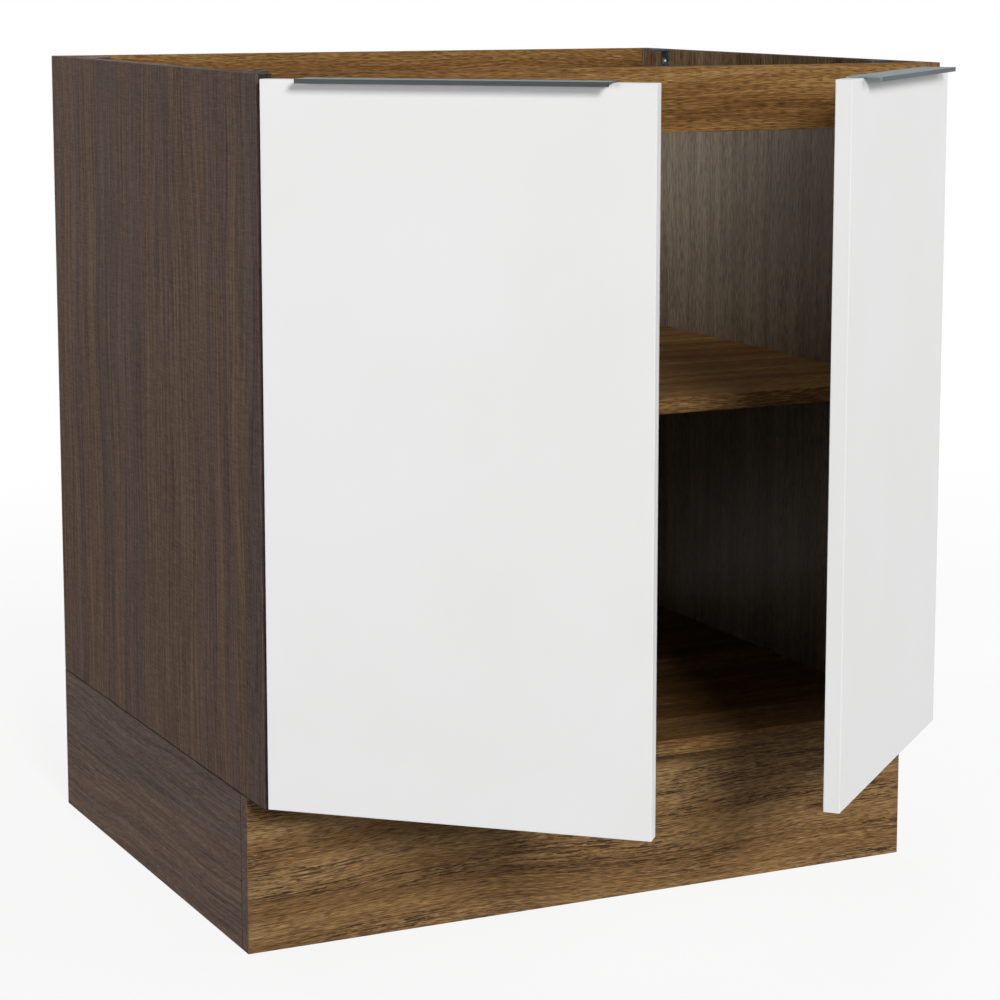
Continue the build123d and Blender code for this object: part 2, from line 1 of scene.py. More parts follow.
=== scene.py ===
import math
import bpy
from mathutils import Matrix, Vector


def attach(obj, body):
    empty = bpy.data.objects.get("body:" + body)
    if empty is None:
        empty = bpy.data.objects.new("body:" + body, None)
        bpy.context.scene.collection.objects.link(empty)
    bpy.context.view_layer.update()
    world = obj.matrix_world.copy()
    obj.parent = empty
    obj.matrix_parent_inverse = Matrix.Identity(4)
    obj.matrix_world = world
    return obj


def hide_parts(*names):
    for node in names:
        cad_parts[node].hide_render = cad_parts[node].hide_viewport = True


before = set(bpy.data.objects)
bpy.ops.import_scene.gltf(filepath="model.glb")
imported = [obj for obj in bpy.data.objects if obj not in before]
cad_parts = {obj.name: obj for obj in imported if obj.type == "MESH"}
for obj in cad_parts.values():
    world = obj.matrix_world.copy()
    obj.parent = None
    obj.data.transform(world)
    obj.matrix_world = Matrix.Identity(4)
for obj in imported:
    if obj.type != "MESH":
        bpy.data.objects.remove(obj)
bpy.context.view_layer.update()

# Sizes of the cabinet, in metres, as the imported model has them
SIDE_OUTER = 0.350
SIDE_INNER = 0.335
FRONT = -0.0525
BACK = 0.5275
BACK_OUTER = 0.5305
TOP = 0.795
PLINTH_TOP = 0.147
PLINTH_FRONT_INNER = 0.0075
PLINTH_REAR_INNER = 0.5125
HINGE_HEIGHTS = (0.251, 0.691)
DOOR_ANGLE = math.radians(42)
PIN_PLACE = Vector((-0.342, -0.063, 0))
ALONG_DOOR = Vector((math.cos(DOOR_ANGLE), -math.sin(DOOR_ANGLE), 0))
INTO_CABINET = Vector((math.sin(DOOR_ANGLE), math.cos(DOOR_ANGLE), 0))

# Where a finish changes, in metres: SKIN is how far a face's own finish reaches in from that face
SKIN = 0.0007
# The next two values place a painted shadow line of the left door along the left side's front edge.
DOOR_SHADOW_LINE_START = -0.3480
DOOR_SHADOW_LINE_WIDTH = 0.0012
JOINT_LINE_WIDTH = 0.0018
SEAM_HALF_WIDTH = 0.0012
SEAM_HALF_CORE = 0.0004
# The next two values set a painted shade band along the front of the outer faces, by the door.
DOOR_SHADE_BAND_WIDTH = 0.026
DOOR_SHADE_BAND_FADE = 0.014
GLOSS_ENDS = 0.76
GLOSS_FULL = 0.71
LIP_DEPTH = 0.0215

# Colours of the oak print, from its dark tone to its light one, and where they stand on the ramp
PRINT_STOPS = (0.1, 0.5, 0.9)
RAIL_HUES = ("462a0f", "7c5830", "a78653")
SHELF_HUES = ("40270e", "765530", "9e7f52")
PLINTH_HUES = ("4d351f", "876842", "ad9168")
# The next hue set is a painted sheen: a greyer copy of the print for the sides' inner faces.
INNER_SHEEN_HUES = ("4a3d2a", "7e6f5d", "998b77")
# The next two hue sets are a painted shade and sheen: a darker, greyer copy of the print for the outer faces
# and the top edges.
OUTER_SHADE_BROWN_HUES = ("4e403b", "705b4d", "88715d")
OUTER_SHADE_PLUM_HUES = ("493d3e", "65554f", "7b675d")
PORE_COLOUR = "3c2a20"
STREAK_COLOUR = "33241e"


def paint(code):
    """A colour written as six hex digits, in the linear values that shaders take."""
    parts = [int(code[i:i + 2], 16) / 255 for i in (0, 2, 4)]
    return [c / 12.92 if c <= 0.04045 else ((c + 0.055) / 1.055) ** 2.4 for c in parts] + [1]


class Value:
    """A socket of a node tree. Arithmetic on it adds Math nodes to the same tree."""

    def __init__(self, nodes, socket):
        self.nodes = nodes
        self.socket = socket

    def maths(self, operation, *terms):
        return self.nodes.node("ShaderNodeMath", {"operation": operation}, dict(enumerate(terms)))

    def __add__(self, other):
        return self.maths("ADD", self, other)

    def __sub__(self, other):
        return self.maths("SUBTRACT", self, other)

    def __rsub__(self, other):
        return self.maths("SUBTRACT", other, self)

    def __mul__(self, other):
        return self.maths("MULTIPLY", self, other)

    def __truediv__(self, other):
        return self.maths("DIVIDE", self, other)

    def __gt__(self, other):
        return self.maths("GREATER_THAN", self, other)

    def __lt__(self, other):
        return self.maths("LESS_THAN", self, other)

    def __abs__(self):
        return self.maths("ABSOLUTE", self)

    __radd__ = __add__
    __rmul__ = __mul__

    def least(self, other):
        return self.maths("MINIMUM", self, other)

    def most(self, other):
        return self.maths("MAXIMUM", self, other)

    def root(self):
        return self.maths("SQRT", self)


class Nodes:
    """A node tree that is filled one node at a time."""

    def __init__(self, tree):
        self.tree = tree
        tree.nodes.clear()

    def node(self, kind, settings=None, inputs=None, output=0):
        """Add a node: its settings first, then the values or links of its sockets."""
        made = self.tree.nodes.new(kind)
        for key, value in (settings or {}).items():
            if key == "stops":
                ramp = made.color_ramp
                while len(ramp.elements) < len(value):
                    ramp.elements.new(1)
                for element, (place, colour) in zip(ramp.elements, value):
                    element.position = place
                    element.color = colour
            else:
                setattr(made, key, value)
        for key, value in (inputs or {}).items():
            if isinstance(value, Value):
                self.tree.links.new(value.socket, made.inputs[key])
            else:
                made.inputs[key].default_value = value
        if made.outputs:
            return Value(self, made.outputs[output])


class Finish(Nodes):
    """A material and the patterns that its surface is made from."""

    def __init__(self, name):
        self.material = bpy.data.materials.new(name)
        self.material.use_nodes = True
        super().__init__(self.material.node_tree)
        self.place = self.node("ShaderNodeTexCoord", output="Object")

    def axes(self, place=None):
        """The three coordinates of a place, or of the shaded point where none is given."""
        split = self.node("ShaderNodeSeparateXYZ", inputs={0: place or self.place})
        return [Value(self, socket) for socket in split.socket.node.outputs]

    def noise(self, scale, detail):
        """Noise that is alike in every direction, with about scale marks to the metre."""
        return self.node(
            "ShaderNodeTexNoise", inputs={"Vector": self.place, "Scale": scale, "Detail": detail}
        )

    def grain(self, axes, along, length, width, detail=2.0, offset=0.0, wander=0.0):
        """Noise drawn out along one axis: marks of a given length and width in metres."""
        sizes = [length if name == along else width for name in "xyz"]
        stretched = self.node(
            "ShaderNodeCombineXYZ",
            inputs={i: axes[i] / sizes[i] + offset for i in range(3)},
        )
        return self.node(
            "ShaderNodeTexNoise",
            inputs={"Vector": stretched, "Scale": 1.0, "Detail": detail, "Distortion": wander},
        )

    def tone(self, *shares):
        """A tone around one half, from pairs of a pattern and how strongly it shows."""
        total = 0.5
        for pattern, strength in shares:
            total = total + (pattern - 0.5) * strength
        return total

    def step(self, value, low, high):
        """A soft step of a value, from 0 at low to 1 at high, also where low is the larger."""
        return self.node(
            "ShaderNodeMapRange",
            {"interpolation_type": "SMOOTHSTEP"},
            {"Value": value, "From Min": low, "From Max": high},
        )

    def blend(self, factor, first, second):
        """A colour between two colours."""
        return self.node(
            "ShaderNodeMix", {"data_type": "RGBA"}, {0: factor, 6: first, 7: second}, output=2
        )

    def shade(self, colour, factor):
        """A colour darkened by a factor."""
        return self.node(
            "ShaderNodeMix",
            {"data_type": "RGBA", "blend_type": "MULTIPLY"},
            {0: 1.0, 6: colour, 7: factor},
            output=2,
        )

    def tones(self, value, *stops):
        """A colour ramp through the given places and colours."""
        return self.node(
            "ShaderNodeValToRGB",
            {"stops": [(place, paint(code)) for place, code in stops]},
            {0: value},
        )

    def bump(self, height, strength, distance):
        """A surface normal that follows a height."""
        return self.node(
            "ShaderNodeBump", inputs={"Height": height, "Strength": strength, "Distance": distance}
        )

    def surface(self, **sockets):
        """Finish the material with a Principled shader; its sockets are given in lower case."""
        inputs = {}
        for name, value in sockets.items():
            label = name.replace("_", " ").title().replace("Ior", "IOR")
            inputs[label] = value
        shader = self.node("ShaderNodeBsdfPrincipled", inputs=inputs)
        self.node("ShaderNodeOutputMaterial", inputs={"Surface": shader})
        return self.material


class OakPrint(Finish):
    """An oak print, whose grain runs along one axis and sways across another.

    Its patterns are the broad figure, fine lines, short dashes, dark pores and dark streaks.
    """

    def __init__(self, name, along, swaying, seed):
        super().__init__(name)
        self.along = along
        self.seed = seed
        self.straight = self.axes()
        sway = self.grain(self.straight, along, length=0.30, width=0.16, detail=1.0, offset=seed)
        across = "xyz".index(swaying)
        self.flow = list(self.straight)
        self.flow[across] = self.straight[across] + (sway - 0.5) * 0.035
        self.figure = self.marks(length=0.60, width=0.022, detail=1.0, offset=3)
        self.lines = self.marks(length=0.11, width=0.0013, detail=1.0, offset=5)
        self.dashes = self.marks(length=0.012, width=0.0005, detail=0.0, offset=9)
        self.pores = self.step(self.marks(length=0.010, width=0.0007, detail=0.0, offset=14), 0.56, 0.64)
        threads = self.marks(length=0.034, width=0.0011, detail=0.0, offset=17)
        breaks = self.marks(length=0.005, width=0.0006, detail=0.0, offset=23)
        groups = self.marks(length=0.20, width=0.020, detail=1.0, offset=19)
        broken_threads = threads + (breaks - 0.5) * 0.5
        self.streaks = self.step(broken_threads, 0.55, 0.64) * self.step(groups, 0.40, 0.54)
        self.shading = self.tone((self.figure, 0.7), (self.lines, 0.6), (self.dashes, 0.8))

    def marks(self, length, width, detail, offset):
        """Marks that follow the swaying grain."""
        return self.grain(self.flow, self.along, length, width, detail, self.seed + offset)

    def hued(self, tone, hues):
        """The print's colours at a tone."""
        return self.tones(tone, *zip(PRINT_STOPS, hues))

    def golden(self, hues, streak_strength):
        """The golden print of the front and the inside, with its pores and dark streaks."""
        pored = self.blend(self.pores * 0.55, self.hued(self.shading, hues), paint(PORE_COLOUR))
        return self.blend(self.streaks * streak_strength, pored, paint(STREAK_COLOUR))

    def painted_outer_shade(self):
        """A painted shade and sheen for the outer faces: a darker, greyer copy of the print, in bands of
        brown and plum, with its dark lines.
        """
        weave = self.grain(self.straight, "y", length=0.014, width=0.0012, detail=0.0, offset=self.seed + 21)
        bands = self.marks(length=1.1, width=0.030, detail=1.0, offset=25)
        hairs = self.marks(length=0.16, width=0.0036, detail=1.0, offset=27)
        tone = self.tone(
            (self.figure, 0.4), (self.lines, 0.8), (self.dashes, 0.6), (weave, 0.4), (hairs, 0.8)
        )
        # A painted shade band along the front of the outer faces, where the door shades them; the plum bands
        # are print.
        door_shade_edge = FRONT + DOOR_SHADE_BAND_WIDTH
        door_shade_band = self.step(self.straight[1], door_shade_edge + DOOR_SHADE_BAND_FADE, door_shade_edge)
        plum_and_door_shade = (self.step(bands, 0.45, 0.62) * 0.7).most(door_shade_band)
        brown = self.hued(tone, OUTER_SHADE_BROWN_HUES)
        plum = self.hued(tone, OUTER_SHADE_PLUM_HUES)
        return self.shade(self.blend(plum_and_door_shade, brown, plum), self.kept_light())

    def kept_light(self):
        """How much light the painted outer shade keeps where its pores, streaks, joint lines and the painted
        shadow line of the left door darken it.
        """
        x, y, z = self.straight
        # A painted shadow line of the left door along the left front edge.
        door_shadow_line = self.left_front_edge() * self.step(x, DOOR_SHADOW_LINE_START, DOOR_SHADOW_LINE_START + DOOR_SHADOW_LINE_WIDTH)
        joint = self.step(z, PLINTH_TOP + JOINT_LINE_WIDTH, PLINTH_TOP) * (z > PLINTH_TOP - SKIN)
        from_seam = abs(y - PLINTH_FRONT_INNER)
        seam = self.step(from_seam, SEAM_HALF_WIDTH, SEAM_HALF_CORE) * (z < PLINTH_TOP)
        in_grain = (1 - self.pores * 0.2) * (1 - self.streaks * 0.25)
        return in_grain * (1 - joint * 0.8) * (1 - seam * 0.5) * (1 - door_shadow_line * 0.7)

    def left_front_edge(self):
        """1 on the front edge of the left side, which takes painted shade from the door."""
        x, y, z = self.straight
        return (y < FRONT + SKIN) * (x < 0)

    def outer_part(self):
        """1 where the painted shade and sheen shows: the outer sides, the left front edge and the top edges.
        """
        x, y, z = self.straight
        outside = abs(x) > SIDE_OUTER - SKIN
        top_edge = z > TOP - SKIN
        return (outside + self.left_front_edge() + top_edge).least(1.0)

    def relief(self):
        """The print's light texture: raised dashes and sunk pores."""
        return self.dashes * 0.6 - self.pores * 0.6

    def laminate(self, colour, coat, relief):
        """Finish the board with its colour, its gloss and its texture."""
        return self.surface(
            base_color=colour,
            specular_ior_level=0.0,
            roughness=0.42 + self.pores * 0.16 + (self.lines - 0.5) * 0.12,
            coat_weight=coat,
            coat_roughness=0.38,
            normal=self.bump(relief, 0.4, 0.0005),
        )


def oak_board(name, along, swaying, hues, streak_strength, seed, outer_shade_painted=False):
    """A board in the golden print, with a painted shade and sheen on its outer faces where it has any."""
    oak = OakPrint(name, along, swaying, seed)
    colour = oak.golden(hues, streak_strength)
    if outer_shade_painted:
        # Painted shade and sheen on the outer faces, the left front edge and the top edges.
        colour = oak.blend(oak.outer_part(), colour, oak.painted_outer_shade())
    return oak.laminate(colour, coat=0.14, relief=oak.relief())


def side_board():
    """The two sides: painted shade and sheen outside; inside, a painted sheen makes the print greyer and
    weakens under the top, where the gloss ends and the face is darker.
    """
    oak = OakPrint("side_laminate", along="z", swaying="y", seed=0)
    x, y, z = oak.straight
    colour = oak.blend(oak.outer_part(), oak.golden(RAIL_HUES, 0.6), oak.painted_outer_shade())
    glossy = oak.step(z, GLOSS_ENDS, GLOSS_FULL)
    inner_sheen_part = (abs(x) < SIDE_INNER + SKIN) * (0.5 + glossy * 0.5)
    in_grain = (1 - oak.pores * 0.5) * (1 - oak.streaks * 0.3)
    # A painted sheen: the inner faces take a greyer copy of the print, at half strength above the rail line.
    painted_inner_sheen = oak.shade(oak.hued(oak.shading, INNER_SHEEN_HUES), in_grain)
    colour = oak.blend(inner_sheen_part, colour, painted_inner_sheen)
    # Above the rail line the inner faces are also darker.
    colour = oak.shade(colour, 1 - inner_sheen_part * (1 - glossy) * 0.6)
    ridges = (oak.lines + oak.dashes * 0.6) * inner_sheen_part * 1.2
    return oak.laminate(colour, coat=0.06 + inner_sheen_part * glossy * 0.8, relief=oak.relief() + ridges)


def white_lacquer():
    """Matt white door lacquer with a faint ripple."""
    finish = Finish("white_lacquer")
    ripple = finish.noise(scale=420.0, detail=2.0)
    cloud = finish.noise(scale=6.0, detail=2.0)
    return finish.surface(
        base_color=finish.tones(cloud, (0.3, "e6e6e5"), (0.7, "e9e9e9")),
        specular_ior_level=0.15,
        roughness=0.40 + (cloud - 0.5) * 0.08,
        normal=finish.bump(ripple, 0.05, 0.0003),
    )


def brushed_aluminium(side, lip_dark, lip_light):
    """Satin aluminium, brushed along the pull of one door, with its lip painted darker as painted shade and
    reflection.
    """
    finish = Finish(f"{side}_brushed_aluminium")
    turn = DOOR_ANGLE if side == "left" else -DOOR_ANGLE
    turned = finish.node(
        "ShaderNodeMapping", inputs={"Vector": finish.place, "Rotation": (0, 0, turn)}
    )
    axes = finish.axes(turned)
    brushing = finish.grain(axes, "x", length=0.05, width=0.0004)
    cloud = finish.grain(axes, "x", length=0.12, width=0.02, offset=3.0)
    tone = finish.tone((brushing, 1.2), (cloud, 0.6))
    satin = finish.tones(tone, (0.1, "4b5458"), (0.9, "5c656a"))
    # The lip's darker colour is painted shade and reflection.
    painted_lip_shade = finish.tones(tone, (0.1, lip_dark), (0.9, lip_light))
    lip = axes[1] < PIN_PLACE.dot(INTO_CABINET) - LIP_DEPTH
    return finish.surface(
        base_color=finish.blend(lip, satin, painted_lip_shade),
        metallic=1.0,
        specular_tint=paint("dadfe2"),
        roughness=0.34 + brushing * 0.14,
        normal=finish.bump(brushing, 0.12, 0.0002),
    )


def zinc_steel():
    """Zinc-plated steel with cloudy plating."""
    finish = Finish("zinc_steel")
    spangle = finish.node(
        "ShaderNodeTexVoronoi", inputs={"Vector": finish.place, "Scale": 260.0}, output="Color"
    )
    cloud = finish.noise(scale=90.0, detail=4.0)
    tone = cloud * 0.7 + finish.axes(spangle)[0] * 0.3
    return finish.surface(
        base_color=finish.tones(tone, (0.2, "8d9298"), (0.8, "c3c7c9")),
        metallic=1.0,
        roughness=0.26 + cloud * 0.22,
        normal=finish.bump(cloud, 0.08, 0.0003),
    )


def blackened_steel():
    """Steel of the worktop brackets, painted dark as a painted reflection of the dark inside, rubbed paler
    in places.
    """
    finish = Finish("blackened_steel")
    wear = finish.noise(scale=160.0, detail=4.0)
    return finish.surface(
        # The dark base colour is a painted reflection of the dark inside.
        base_color=finish.tones(wear, (0.3, "2e3336"), (0.55, "454b4f"), (0.75, "5b6266")),
        specular_ior_level=0.0,
        roughness=0.4 + wear * 0.2,
        coat_weight=0.1 + wear * 0.1,
        coat_roughness=0.35,
        normal=finish.bump(wear, 0.1, 0.0003),
    )


def hardboard():
    """Thin back: a white lacquered face inside, raw fibres on the rear face."""
    finish = Finish("hardboard")
    axes = finish.axes()
    emboss = finish.grain(axes, "z", length=0.03, width=0.0024, detail=3.0, offset=2.0, wander=0.6)
    bands = finish.grain(axes, "z", length=0.4, width=0.03, offset=7.0)
    white = finish.tones(
        finish.tone((emboss, 1.0), (bands, 0.7)), (0.2, "cfcbc3"), (0.5, "d8d5ce"), (0.8, "dedbd5")
    )
    flecks = finish.noise(scale=700.0, detail=4.0)
    stains = finish.noise(scale=14.0, detail=4.0)
    raw = finish.tones(
        flecks * 0.6 + stains * 0.4, (0.3, "5f452e"), (0.5, "7a5a3b"), (0.7, "927049")
    )
    rear = axes[1] > BACK + SKIN
    return finish.surface(
        base_color=finish.blend(rear, white, raw),
        roughness=0.52 + rear * 0.2 + (flecks - 0.5) * 0.15,
        normal=finish.bump(emboss * (1 - rear) * 0.3 + flecks * rear * 0.3, 0.5, 0.0007),
    )


def moulded_plastic():
    """Dark moulded plastic of the plinth's corner blocks."""
    finish = Finish("moulded_plastic")
    texture = finish.noise(scale=900.0, detail=3.0)
    return finish.surface(
        base_color=finish.tones(texture, (0.3, "2b2622"), (0.7, "38322d")),
        roughness=0.45 + texture * 0.2,
        normal=finish.bump(texture, 0.2, 0.0003),
    )


def beech():
    """Pale beech of the dowels, with short dark flecks."""
    finish = Finish("beech")
    axes = finish.axes()
    flecks = finish.grain(axes, "x", length=0.006, width=0.0005)
    rings = finish.grain(axes, "x", length=0.06, width=0.003, offset=4.0)
    return finish.surface(
        base_color=finish.tones(rings * 0.6 + flecks * 0.4, (0.3, "b98f63"), (0.7, "d9b88c")),
        roughness=0.5 + flecks * 0.2,
        normal=finish.bump(flecks, 0.2, 0.0002),
    )


def dress(material, *names):
    """Give carried-over nodes their finish."""
    for name in names:
        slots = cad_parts[name].data.materials
        slots.clear()
        slots.append(material)


class FastenerTree(Nodes):
    """Geometry nodes that set a headed fastener on every point, turned to the point's aim."""

    LENGTHS = ("Head Radius", "Head Top Radius", "Head Height", "Head Base", "Shank Radius",
               "Shank Length", "Slot Length", "Slot Width", "Slot Depth")

    def __init__(self):
        super().__init__(bpy.data.node_groups.new("fasteners", "GeometryNodeTree"))
        face = self.tree.interface
        face.new_socket("Geometry", in_out="INPUT", socket_type="NodeSocketGeometry")
        for label in self.LENGTHS:
            face.new_socket(label, in_out="INPUT", socket_type="NodeSocketFloat")
        face.new_socket("Cross Slot", in_out="INPUT", socket_type="NodeSocketBool")
        face.new_socket("Seed", in_out="INPUT", socket_type="NodeSocketInt")
        face.new_socket("Finish", in_out="INPUT", socket_type="NodeSocketMaterial")
        face.new_socket("Geometry", in_out="OUTPUT", socket_type="NodeSocketGeometry")
        self.inputs = self.node("NodeGroupInput").socket.node.outputs
        placed = self.node(
            "GeometryNodeInstanceOnPoints",
            inputs={
                "Points": self.given("Geometry"),
                "Instance": self.join(self.head(), self.shank()),
                "Rotation": self.turn(),
            },
        )
        real = self.node("GeometryNodeRealizeInstances", inputs={0: placed})
        dressed = self.node(
            "GeometryNodeSetMaterial", inputs={"Geometry": real, "Material": self.given("Finish")}
        )
        self.node("NodeGroupOutput", inputs={0: dressed})

    def given(self, label):
        """One of the tree's named inputs."""
        return Value(self, self.inputs[label])

    def raised(self, geometry, height):
        """Geometry moved up the fastener's axis."""
        rise = self.node("ShaderNodeCombineXYZ", inputs={2: height})
        return self.node("GeometryNodeTransform", inputs={"Geometry": geometry, "Translation": rise})

    def join(self, *parts):
        """Several parts as one."""
        joined = self.node("GeometryNodeJoinGeometry")
        for part in parts:
            self.tree.links.new(part.socket, joined.socket.node.inputs[0])
        return joined

    def cross(self):
        """Two crossed bars, centred on the top of the head."""
        top = self.given("Head Base") + self.given("Head Height")
        bars = []
        for long_axis in (0, 1):
            extent = self.node(
                "ShaderNodeCombineXYZ",
                inputs={
                    long_axis: self.given("Slot Length"),
                    1 - long_axis: self.given("Slot Width"),
                    2: self.given("Slot Depth") * 2,
                },
            )
            bar = self.node("GeometryNodeMeshCube", inputs={"Size": extent})
            bars.append(self.raised(bar, top))
        return self.join(*bars)

    def head(self):
        """A tapered head, with a cross slot cut into it where one is asked for."""
        cone = self.node(
            "GeometryNodeMeshCone",
            inputs={
                "Vertices": 28,
                "Radius Top": self.given("Head Top Radius"),
                "Radius Bottom": self.given("Head Radius"),
                "Depth": self.given("Head Height"),
            },
        )
        plain = self.raised(cone, self.given("Head Base"))
        slotted = self.node(
            "GeometryNodeMeshBoolean",
            {"operation": "DIFFERENCE", "solver": "EXACT"},
            {"Mesh 1": plain, "Mesh 2": self.cross(), "Self Intersection": True},
        )
        return self.node(
            "GeometryNodeSwitch",
            {"input_type": "GEOMETRY"},
            {"Switch": self.given("Cross Slot"), "False": plain, "True": slotted},
        )

    def shank(self):
        """A shank that narrows to its tip."""
        cone = self.node(
            "GeometryNodeMeshCone",
            inputs={
                "Vertices": 16,
                "Radius Top": self.given("Shank Radius"),
                "Radius Bottom": self.given("Shank Radius") * 0.4,
                "Depth": self.given("Shank Length"),
            },
        )
        return self.raised(cone, self.given("Head Base") - self.given("Shank Length"))

    def turn(self):
        """Each point's own aim, with a random spin about it."""
        aim = self.node(
            "GeometryNodeInputNamedAttribute", {"data_type": "FLOAT_VECTOR"}, {"Name": "aim"}
        )
        aimed = self.node("FunctionNodeAlignRotationToVector", {"axis": "Z"}, {"Vector": aim})
        spin = self.node(
            "FunctionNodeRandomValue",
            {"data_type": "FLOAT"},
            {2: 0.0, 3: math.tau, "Seed": self.given("Seed")},
            output=1,
        )
        spun = self.node("FunctionNodeAxisAngleToRotation", inputs={"Axis": (0, 0, 1), "Angle": spin})
        return self.node(
            "FunctionNodeRotateRotation", {"rotation_space": "LOCAL"}, {0: aimed, 1: spun}
        )


def fasteners(name, body, places, sizes):
    """Make one body's fasteners of a kind, in place of the node of the same name."""
    mesh = bpy.data.meshes.new(name)
    mesh.from_pydata([place for place, aim in places], [], [])
    aims = mesh.attributes.new("aim", "FLOAT_VECTOR", "POINT")
    for entry, (place, aim) in zip(aims.data, places):
        entry.vector = aim
    piece = bpy.data.objects.new(f"{name}_set", mesh)
    bpy.context.scene.collection.objects.link(piece)
    modifier = piece.modifiers.new("fasteners", "NODES")
    modifier.node_group = fastener_nodes.tree
    given = {"Finish": steel, "Seed": len(places), **sizes}
    for item in fastener_nodes.tree.interface.items_tree:
        if item.in_out == "INPUT" and item.name in given:
            modifier[item.identifier] = given[item.name]
    bpy.context.view_layer.update()
    evaluated = piece.evaluated_get(bpy.context.evaluated_depsgraph_get())
    made = bpy.data.meshes.new_from_object(evaluated)
    made.name = f"{name}_set"
    piece.modifiers.remove(modifier)
    piece.data = made
    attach(piece, body)
    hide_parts(name)


def both_sides(places):
    """Places on the left and their mirror images on the right."""
    mirrored = [((-x, y, z), (-a, b, c)) for (x, y, z), (a, b, c) in places]
    return places + mirrored


def on_door(side, along, out, height):
    """A point of a door, from its hinge pin, and the direction into the cabinet there."""
    place = PIN_PLACE + ALONG_DOOR * along + INTO_CABINET * out
    sign = 1 if side == "left" else -1
    return (sign * place.x, place.y, height), (sign * INTO_CABINET.x, INTO_CABINET.y, 0)


def block_screws():
    """Places of the screws in the left corner blocks: into the side, the end board and the bottom."""
    places = []
    for end_board, inward in ((PLINTH_FRONT_INNER, 1), (PLINTH_REAR_INNER, -1)):
        side_screw = (-SIDE_INNER + BLOCK, end_board + inward * BLOCK_NEAR, PLINTH_TOP - BLOCK + BLOCK_NEAR)
        end_screw = (-SIDE_INNER + BLOCK_NEAR, end_board + inward * BLOCK, PLINTH_TOP - BLOCK_NEAR)
        bottom_screw = (-SIDE_INNER + BLOCK_FAR, end_board + inward * BLOCK_FAR, PLINTH_TOP - BLOCK)
        places += [(side_screw, INWARD), (end_screw, (0, inward, 0)), (bottom_screw, DOWN)]
    return places


def back_nails():
    """Places of the nails around the back: up both sides, then along the bottom and the top."""
    side_middle = (SIDE_OUTER + SIDE_INNER) / 2
    heights = [NAIL_LOWEST + NAIL_RISE * i for i in range(6)]
    columns = [NAIL_LEFTMOST + NAIL_RUN * i for i in range(5)]
    spots = [(x, z) for x in (-side_middle, side_middle) for z in heights]
    spots += [(x, z) for x in columns for z in NAIL_ROWS]
    return [((x, BACK_OUTER - NAIL_SUNK, z), REARWARD) for x, z in spots]


def surroundings():
    """A white world that lights the object only faintly."""
    world = bpy.data.worlds.new("studio_white")
    bpy.context.scene.world = world
    world.use_nodes = True
    sky = Nodes(world.node_tree)
    fill = sky.node("ShaderNodeBackground", inputs={"Color": (1, 1, 1, 1), "Strength": 0.018})
    white = sky.node("ShaderNodeBackground", inputs={"Color": (1, 1, 1, 1), "Strength": 1.0})
    mixed = sky.node("ShaderNodeMixShader", inputs={0: seen_directly(sky), 1: fill, 2: white})
    sky.node("ShaderNodeOutputWorld", inputs={"Surface": mixed})


def floor_finish():
    """A floor that looks white, keeps the object's shadow and lights the object as pale grey does."""
    finish = Finish("studio_floor")
    seen = seen_directly(finish)
    pale = finish.blend(seen, paint("969696"), paint("ffffff"))
    diffuse = finish.node("ShaderNodeBsdfDiffuse", inputs={"Color": pale})
    glow = finish.node("ShaderNodeEmission", inputs={"Color": (1, 1, 1, 1), "Strength": 1.0})
    across, deep, up = finish.axes()
    away = (across * across + deep * deep).root()
    white = 0.85 + finish.step(away, 0.8, 3.0) * 0.15
    mixed = finish.node("ShaderNodeMixShader", inputs={0: seen * white, 1: diffuse, 2: glow})
    finish.node("ShaderNodeOutputMaterial", inputs={"Surface": mixed})
    return finish.material


def seen_directly(nodes):
    """1 for the rays that show a surface as a background, 0 for the rays that light the object."""
    kinds = ("Is Camera Ray", "Is Glossy Ray", "Is Transmission Ray")
    camera_ray, glossy_ray, clear_ray = [nodes.node("ShaderNodeLightPath", output=kind) for kind in kinds]
    return (camera_ray + glossy_ray + clear_ray).least(1.0)


def studio_floor(reach):
    """A level floor under the cabinet, which reaches the same way to each side."""
    mesh = bpy.data.meshes.new("studio_floor")
    corners = [(-reach, -reach, 0), (reach, -reach, 0), (reach, reach, 0), (-reach, reach, 0)]
    mesh.from_pydata(corners, [], [(0, 1, 2, 3)])
    mesh.materials.append(floor_finish())
    floor = bpy.data.objects.new("studio_floor", mesh)
    bpy.context.scene.collection.objects.link(floor)


def hang(light, place, target):
    """Put a light at a place, turned to a target."""
    holder = bpy.data.objects.new(light.name, light)
    holder.location = place
    holder.rotation_euler = (target - place).to_track_quat("-Z", "Y").to_euler()
    bpy.context.scene.collection.objects.link(holder)


def lamp(name, bearing, distance, height, size, power):
    """A square soft lamp that faces the cabinet; its bearing runs from the front to the right."""
    light = bpy.data.lights.new(name, "AREA")
    light.shape = "SQUARE"
    light.size = size
    light.energy = power
    turn = math.radians(bearing)
    away = Vector((math.sin(turn) * distance, -math.cos(turn) * distance, 0))
    hang(light, Vector((0, LAMP_AIM.y, height)) + away, LAMP_AIM)


def snoot(name, place, target, cone, power):
    """A narrow lamp with a soft rim, aimed at one spot; its cone is in degrees."""
    light = bpy.data.lights.new(name, "SPOT")
    light.energy = power
    light.spot_size = math.radians(cone)
    light.spot_blend = 1.0
    light.shadow_soft_size = 0.12
    hang(light, Vector(place), Vector(target))


def photo_camera(place, down, right, focal_length, shift):
    """The photograph's camera, turned down from level and to the right by degrees."""
    lens = bpy.data.cameras.new("camera")
    lens.sensor_width = 36
    lens.lens = focal_length
    lens.shift_y = shift
    lens.clip_end = 100
    camera = bpy.data.objects.new("camera", lens)
    camera.location = place
    camera.rotation_euler = (math.radians(90 - down), 0, math.radians(-right))
    bpy.context.scene.collection.objects.link(camera)
    bpy.context.scene.camera = camera


